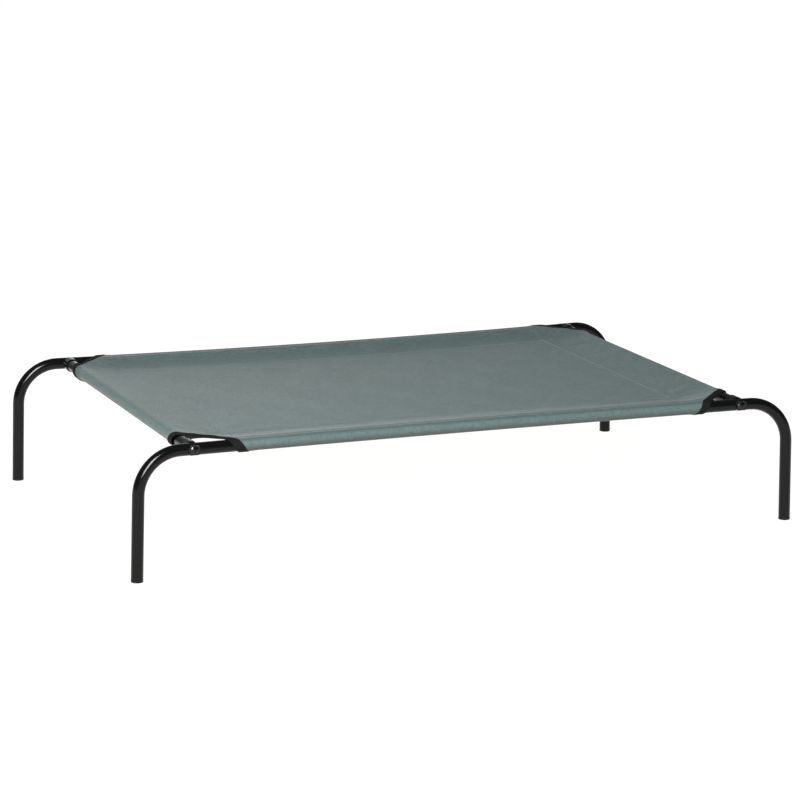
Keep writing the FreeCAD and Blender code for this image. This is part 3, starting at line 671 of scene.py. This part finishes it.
def make_world():
    """A dim room with a bright backdrop low behind the bed."""
    world = bpy.data.worlds.new("studio")
    scene.world = world
    world.use_nodes = True
    tree = world.node_tree
    background = next(n for n in tree.nodes if n.type == "BACKGROUND")
    background.inputs["Strength"].default_value = 1.0
    coordinates = tree.nodes.new("ShaderNodeTexCoord")
    split = tree.nodes.new("ShaderNodeSeparateXYZ")
    ramp = tree.nodes.new("ShaderNodeValToRGB")
    ramp.color_ramp.interpolation = "EASE"
    low, high = ramp.color_ramp.elements
    low.position = BACKDROP_TOP
    low.color = BACKDROP
    high.position = BACKDROP_FADE
    high.color = ROOM
    towards = tree.nodes.new("ShaderNodeVectorMath")
    towards.operation = "DOT_PRODUCT"
    towards.inputs[1].default_value = BACKDROP_TOWARDS
    facing = tree.nodes.new("ShaderNodeMapRange")
    facing.interpolation_type = "SMOOTHSTEP"
    facing.inputs["From Min"].default_value = 0.90
    facing.inputs["From Max"].default_value = 0.99
    mix = tree.nodes.new("ShaderNodeMix")
    mix.data_type = "RGBA"
    mix.inputs[6].default_value = ROOM
    tree.links.new(coordinates.outputs["Generated"], split.inputs[0])
    tree.links.new(coordinates.outputs["Generated"], towards.inputs[0])
    tree.links.new(split.outputs["Z"], ramp.inputs[0])
    tree.links.new(towards.outputs["Value"], facing.inputs["Value"])
    tree.links.new(facing.outputs["Result"], mix.inputs[0])
    tree.links.new(ramp.outputs[0], mix.inputs[7])
    tree.links.new(mix.outputs[2], background.inputs["Color"])


def make_key():
    """A tall softbox in front of the bed, to the left."""
    area = bpy.data.lights.new("key", "AREA")
    area.shape = "RECTANGLE"
    area.size = KEY_WIDTH
    area.size_y = KEY_TALL
    area.energy = KEY_POWER
    area.color = KEY_COLOUR
    lamp = bpy.data.objects.new("key", area)
    scene.collection.objects.link(lamp)
    lamp.location = Vector((-CROSS_REACH, -END_REACH, RAIL_HEIGHT)) + KEY_DISTANCE * KEY_FROM
    lamp.rotation_mode = "QUATERNION"
    lamp.rotation_quaternion = KEY_FROM.to_track_quat("Z", "Y")


# --- materials ------------------------------------------------------------------------------

class Graph:
    """Short ways to add nodes to a material."""

    def __init__(self, tree):
        self.tree = tree

    def node(self, kind, **settings):
        node = self.tree.nodes.new(kind)
        for key, value in settings.items():
            setattr(node, key, value)
        return node

    def put(self, socket, value):
        """Links a socket to another, or sets its own value."""
        if isinstance(value, bpy.types.NodeSocket):
            self.tree.links.new(value, socket)
        else:
            socket.default_value = value

    def math(self, operation, a, b=0.0, c=0.0):
        node = self.node("ShaderNodeMath", operation=operation)
        for socket, value in zip(node.inputs, (a, b, c)):
            self.put(socket, value)
        return node.outputs[0]

    def span(self, value, low, high, start=0.0, end=1.0, smooth=False):
        """The value's range low to high turned into start to end, held beyond."""
        node = self.node("ShaderNodeMapRange")
        if smooth:
            node.interpolation_type = "SMOOTHSTEP"
        for name, item in (("Value", value), ("From Min", low), ("From Max", high),
                           ("To Min", start), ("To Max", end)):
            self.put(node.inputs[name], item)
        return node.outputs["Result"]

    def vector(self, x, y, z=0.0):
        node = self.node("ShaderNodeCombineXYZ")
        for socket, value in zip(node.inputs, (x, y, z)):
            self.put(socket, value)
        return node.outputs[0]

    def noise(self, where, scale, detail=2.0, roughness=0.5):
        node = self.node("ShaderNodeTexNoise")
        self.put(node.inputs["Vector"], where)
        node.inputs["Scale"].default_value = scale
        node.inputs["Detail"].default_value = detail
        node.inputs["Roughness"].default_value = roughness
        return node.outputs["Fac"]

    def white(self, where):
        """A random number for each whole place."""
        node = self.node("ShaderNodeTexWhiteNoise", noise_dimensions="2D")
        self.put(node.inputs["Vector"], where)
        return node.outputs["Value"]

    def mix(self, amount, first, second):
        node = self.node("ShaderNodeMix", data_type="RGBA")
        self.put(node.inputs[0], amount)
        self.put(node.inputs[6], first)
        self.put(node.inputs[7], second)
        return node.outputs[2]

    def bump(self, height, strength, distance, base=None):
        node = self.node("ShaderNodeBump")
        self.put(node.inputs["Height"], height)
        node.inputs["Strength"].default_value = strength
        node.inputs["Distance"].default_value = distance
        if base is not None:
            self.put(node.inputs["Normal"], base)
        return node.outputs[0]

    def place(self, name):
        """The two numbers of a place kept on the mesh, in metres."""
        node = self.node("ShaderNodeAttribute", attribute_name=name)
        split = self.node("ShaderNodeSeparateXYZ")
        self.tree.links.new(node.outputs["Vector"], split.inputs[0])
        return split.outputs[0], split.outputs[1]

    def object_place(self):
        return self.node("ShaderNodeTexCoord").outputs["Object"]


def weave(g, u, v, pitch, streak):
    """Plain weave of yarns a pitch apart: its height, which yarn is on top, and yarn shades."""
    across_u = g.math("DIVIDE", u, pitch)
    across_v = g.math("DIVIDE", v, pitch)
    wave_u = g.math("SINE", g.math("MULTIPLY", across_u, math.pi))
    wave_v = g.math("SINE", g.math("MULTIPLY", across_v, math.pi))
    crossing = g.math("MULTIPLY", wave_u, wave_v)
    warp_on_top = g.span(crossing, -0.3, 0.3, smooth=True)
    warp = g.math("ABSOLUTE", wave_u)
    weft = g.math("ABSOLUTE", wave_v)
    warp_height = g.math("MULTIPLY", warp, warp_on_top)
    weft_height = g.math("MULTIPLY", weft, g.math("SUBTRACT", 1.0, warp_on_top))
    height = g.math("ADD", warp_height, weft_height)
    number_u = g.math("FLOOR", across_u)
    number_v = g.math("FLOOR", across_v)
    shifted_v = g.math("ADD", v, g.math("MULTIPLY", number_u, 13.7 * MM))
    shifted_u = g.math("ADD", u, g.math("MULTIPLY", number_v, 17.1 * MM))
    run_v = g.math("FLOOR", g.math("DIVIDE", shifted_v, streak))
    run_u = g.math("FLOOR", g.math("DIVIDE", shifted_u, streak))
    warp_shade = g.white(g.vector(number_u, run_v))
    weft_shade = g.white(g.vector(run_u, number_v))
    shade = g.node("ShaderNodeMix", data_type="FLOAT")
    g.put(shade.inputs[0], warp_on_top)
    g.put(shade.inputs[2], weft_shade)
    g.put(shade.inputs[3], warp_shade)
    return height, shade.outputs[0]


WEAVE_PITCH = 0.85 * MM
WEAVE_STREAK = 9 * MM
DENT_WIDTH = 2.2 * MM
# Painted shade: where the darker band painted into the cloth's colour lies past each tube's
# crest, and how wide it is.
PAINTED_SHADE_PAST_CREST = 6.5 * MM
PAINTED_SHADE_WIDTH = 5 * MM
CLOTH_DARK = (0.050, 0.081, 0.080, 1)
CLOTH_LIGHT = (0.112, 0.155, 0.151, 1)
# Painted shade: the dark brownish colour given to the cloth where it runs under the tubes.
CLOTH_PAINTED_UNDERSHADE = (0.052, 0.050, 0.044, 1)
CLOTH_WARM = (0.110, 0.112, 0.104, 1)


def sling_material():
    """Grey-green coated plain weave, slightly mottled, with a dent along the stitched seam.

    Round a tube the grain is calmer. A band just past the crest is painted darker as painted
    shade, and the cloth further round, below the tube, is painted dark and brownish as painted
    shade.
    """
    material, tree, shader = new_material("sling_cloth")
    g = Graph(tree)
    u, v = g.place("cloth_place")
    height, shade = weave(g, u, v, WEAVE_PITCH, WEAVE_STREAK)
    flat = g.vector(u, v)
    weft_slub = g.noise(g.vector(g.math("MULTIPLY", u, 0.35), v), 420, 2)
    warp_slub = g.noise(g.vector(u, g.math("MULTIPLY", v, 0.35)), 430, 2)
    slub = g.math("MULTIPLY_ADD", warp_slub, 0.62, g.math("MULTIPLY", weft_slub, 0.38))
    mottle = g.noise(flat, 22, 3)
    tone = g.math("MULTIPLY_ADD", shade, 0.35, g.math("MULTIPLY", slub, 0.65))
    size_u = g.math("ABSOLUTE", u)
    size_v = g.math("ABSOLUTE", v)
    past_u = g.math("SUBTRACT", size_u, CREST_U)
    past_v = g.math("SUBTRACT", size_v, CREST_V)
    past = g.math("MAXIMUM", past_u, past_v)
    calm = g.span(past, -4 * MM, 6 * MM, 1.0, 0.5)
    tone = g.math("MULTIPLY_ADD", g.math("SUBTRACT", tone, 0.51), calm, 0.51)
    colour = g.mix(g.span(tone, 0.39, 0.63), CLOTH_DARK, CLOTH_LIGHT)
    fleck = g.noise(g.vector(u, g.math("MULTIPLY", v, 0.25)), 520, 1)
    colour = g.mix(g.span(fleck, 0.5, 0.75, 0.0, 0.55), colour, CLOTH_WARM)
    colour = g.mix(g.span(mottle, 0.35, 0.65, 0.0, 0.22), colour, CLOTH_DARK)
    # Painted shade: darken the cloth's colour in a band just past the crest.
    from_painted_shade = g.math("ABSOLUTE", g.math("SUBTRACT", past, PAINTED_SHADE_PAST_CREST))
    colour = g.mix(g.span(from_painted_shade, 0, PAINTED_SHADE_WIDTH, 0.62, 0, smooth=True), colour, CLOTH_DARK)
    # Painted shade: the cloth further round, under the tube, painted dark and brownish.
    colour = g.mix(g.span(past, 15 * MM, 26 * MM, 0, 0.7), colour, CLOTH_PAINTED_UNDERSHADE)
    from_u = g.math("ABSOLUTE", g.math("SUBTRACT", size_u, SEAM_U))
    from_v = g.math("ABSOLUTE", g.math("SUBTRACT", size_v, SEAM_V))
    line_u = g.span(from_u, 0, DENT_WIDTH, 1, 0, smooth=True)
    line_v = g.span(from_v, 0, DENT_WIDTH, 1, 0, smooth=True)
    dent_u = g.math("MULTIPLY", line_u, g.math("LESS_THAN", size_v, SEAM_V))
    dent_v = g.math("MULTIPLY", line_v, g.math("LESS_THAN", size_u, SEAM_U))
    dent = g.math("MAXIMUM", g.math("MULTIPLY", dent_u, 0.25), dent_v)
    g.put(shader.inputs["Base Color"], colour)
    g.put(shader.inputs["Roughness"], g.span(tone, 0.2, 0.8, 0.42, 0.32))
    shader.inputs["Specular IOR Level"].default_value = 0.16
    shader.inputs["Sheen Weight"].default_value = 0.06
    shader.inputs["Sheen Roughness"].default_value = 0.4
    shader.inputs["Sheen Tint"].default_value = (0.9, 1, 1, 1)
    seam = g.bump(g.math("SUBTRACT", 1.0, dent), 0.3, 0.3 * MM)
    grain = g.bump(slub, 0.35, 0.5 * MM, seam)
    g.put(shader.inputs["Normal"], g.bump(height, 0.4, 0.22 * MM, grain))
    return material


TAPE_RIB = 0.9 * MM
TAPE_FINE = 0.6 * MM
TAPE_DARK = (0.0020, 0.0022, 0.0022, 1)
TAPE_LIGHT = (0.0070, 0.0074, 0.0074, 1)


def tape_material():
    """Black ribbed tape, a little fuzzy, worn lighter on its ribs."""
    material, tree, shader = new_material("binding_tape")
    g = Graph(tree)
    along, across = g.place("cloth_place")
    rib = g.math("SINE", g.math("MULTIPLY", along, 2 * math.pi / TAPE_RIB))
    fine = g.math("SINE", g.math("MULTIPLY", across, 2 * math.pi / TAPE_FINE))
    fuzz = g.noise(g.object_place(), 1500, 2)
    tone = g.math("ADD", g.span(rib, -1, 1, 0, 0.5), g.math("MULTIPLY", fuzz, 0.5))
    g.put(shader.inputs["Base Color"], g.mix(tone, TAPE_DARK, TAPE_LIGHT))
    g.put(shader.inputs["Roughness"], g.span(fuzz, 0.3, 0.7, 0.7, 0.9))
    shader.inputs["Specular IOR Level"].default_value = 0.15
    woven = g.math("MULTIPLY_ADD", fine, 0.25, rib)
    g.put(shader.inputs["Normal"], g.bump(woven, 0.5, 0.12 * MM, g.bump(fuzz, 0.3, 0.2 * MM)))
    return material


COAT_BLACK = (0.0018, 0.0020, 0.0020, 1)
COAT_RUBBED = (0.006, 0.006, 0.0055, 1)


def coat_material():
    """Black powder coat: satin, with a fine orange peel and a few rubbed spots."""
    material, tree, shader = new_material("powder_coat")
    g = Graph(tree)
    where = g.object_place()
    peel = g.noise(where, 700, 2)
    smear = g.noise(where, 35, 3, 0.6)
    rub = g.noise(where, 160, 4, 0.65)
    worn = g.span(rub, 0.66, 0.78, 0.0, 0.5)
    roughness = g.math("MULTIPLY_ADD", worn, 0.15, g.span(smear, 0.3, 0.7, 0.13, 0.19))
    g.put(shader.inputs["Base Color"], g.mix(worn, COAT_BLACK, COAT_RUBBED))
    g.put(shader.inputs["Roughness"], roughness)
    shader.inputs["Specular IOR Level"].default_value = 0.22
    g.put(shader.inputs["Normal"], g.bump(peel, 0.03, 0.1 * MM))
    return material


def plastic_material(name, shade, roughness):
    """Black moulded plastic with a faint grain."""
    material, tree, shader = new_material(name)
    g = Graph(tree)
    where = g.object_place()
    grain = g.noise(where, 2200, 2)
    cloud = g.noise(where, 90, 3)
    low = (shade * 0.8, shade * 0.8, shade * 0.8, 1)
    high = (shade * 1.3, shade * 1.3, shade * 1.25, 1)
    g.put(shader.inputs["Base Color"], g.mix(cloud, low, high))
    g.put(shader.inputs["Roughness"], g.span(cloud, 0.3, 0.7, roughness - 0.05, roughness + 0.08))
    shader.inputs["Specular IOR Level"].default_value = 0.28
    g.put(shader.inputs["Normal"], g.bump(grain, 0.15, 0.1 * MM))
    return material


def metal_material(name, colour, roughness):
    """Plated or blackened metal with fine turning lines and slight tarnish."""
    material, tree, shader = new_material(name)
    g = Graph(tree)
    where = g.object_place()
    fine = g.noise(where, 3000, 3)
    cloud = g.noise(where, 220, 4)
    dull = tuple(0.7 * c for c in colour)
    g.put(shader.inputs["Base Color"], g.mix(cloud, (*dull, 1), (*colour, 1)))
    shader.inputs["Metallic"].default_value = 1.0
    g.put(shader.inputs["Roughness"], g.span(cloud, 0.3, 0.7, roughness - 0.06, roughness + 0.1))
    g.put(shader.inputs["Normal"], g.bump(fine, 0.1, 0.05 * MM))
    return material


def thread_material(name, colour):
    """Twisted sewing thread."""
    material, tree, shader = new_material(name)
    g = Graph(tree)
    twist = g.noise(g.object_place(), 2600, 2)
    dark = tuple(0.6 * c for c in colour)
    g.put(shader.inputs["Base Color"], g.mix(twist, (*dark, 1), (*colour, 1)))
    g.put(shader.inputs["Roughness"], g.span(twist, 0.3, 0.7, 0.7, 0.9))
    shader.inputs["Specular IOR Level"].default_value = 0.1
    g.put(shader.inputs["Normal"], g.bump(twist, 0.4, 0.1 * MM))
    return material


# --- the bed --------------------------------------------------------------------------------

scene.view_settings.view_transform = "Standard"
make_floor()
make_world()
make_key()

cloth_finish = sling_material()
tape_finish = tape_material()
cloth_thread = thread_material("cloth_thread", (0.190, 0.230, 0.223))
tape_thread = thread_material("tape_thread", (0.02, 0.02, 0.02))

sling = make_sling()
sling.data.materials.append(cloth_finish)
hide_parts("sling")

sewn_on = []
for seam_name, beneath in (("seam_stitches", False), ("seam_stitches_under", True)):
    seam = make_seam(seam_name, beneath)
    seam.data.materials.append(cloth_thread)
    sewn_on.append(seam)
for corner, end, side in CORNERS:
    binding = make_binding(corner, end, side)
    binding.data.materials.append(tape_finish)
    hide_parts(corner + "_corner_binding")
    row = make_binding_stitches(corner, end, side)
    row.data.materials.append(tape_thread)
    sewn_on += [binding, row]

cut_area = 4 * HALF_U * HALF_V
for corner, end, side in CORNERS:
    middle, along, _ = cut_line(corner, end, side)
    start, stop = cut_span(middle, along)
    cut_area -= abs(along[0] * along[1]) * (stop - start) ** 2 / 2

finishes = {
    "powder_coated_steel": coat_material(),
    "plated_steel": metal_material("zinc_plate", (0.62, 0.62, 0.6), 0.3),
    "black_bolt": metal_material("black_bolt", (0.045, 0.045, 0.043), 0.18),
    "black_plastic": plastic_material("black_plastic", 0.003, 0.18),
}
slots = {row["node"]: row["material_slot"] for row in frame["record"]["subparts"]}
for name, node in nodes.items():
    if slots[name] in finishes:
        node.data.materials.clear()
        node.data.materials.append(finishes[slots[name]])
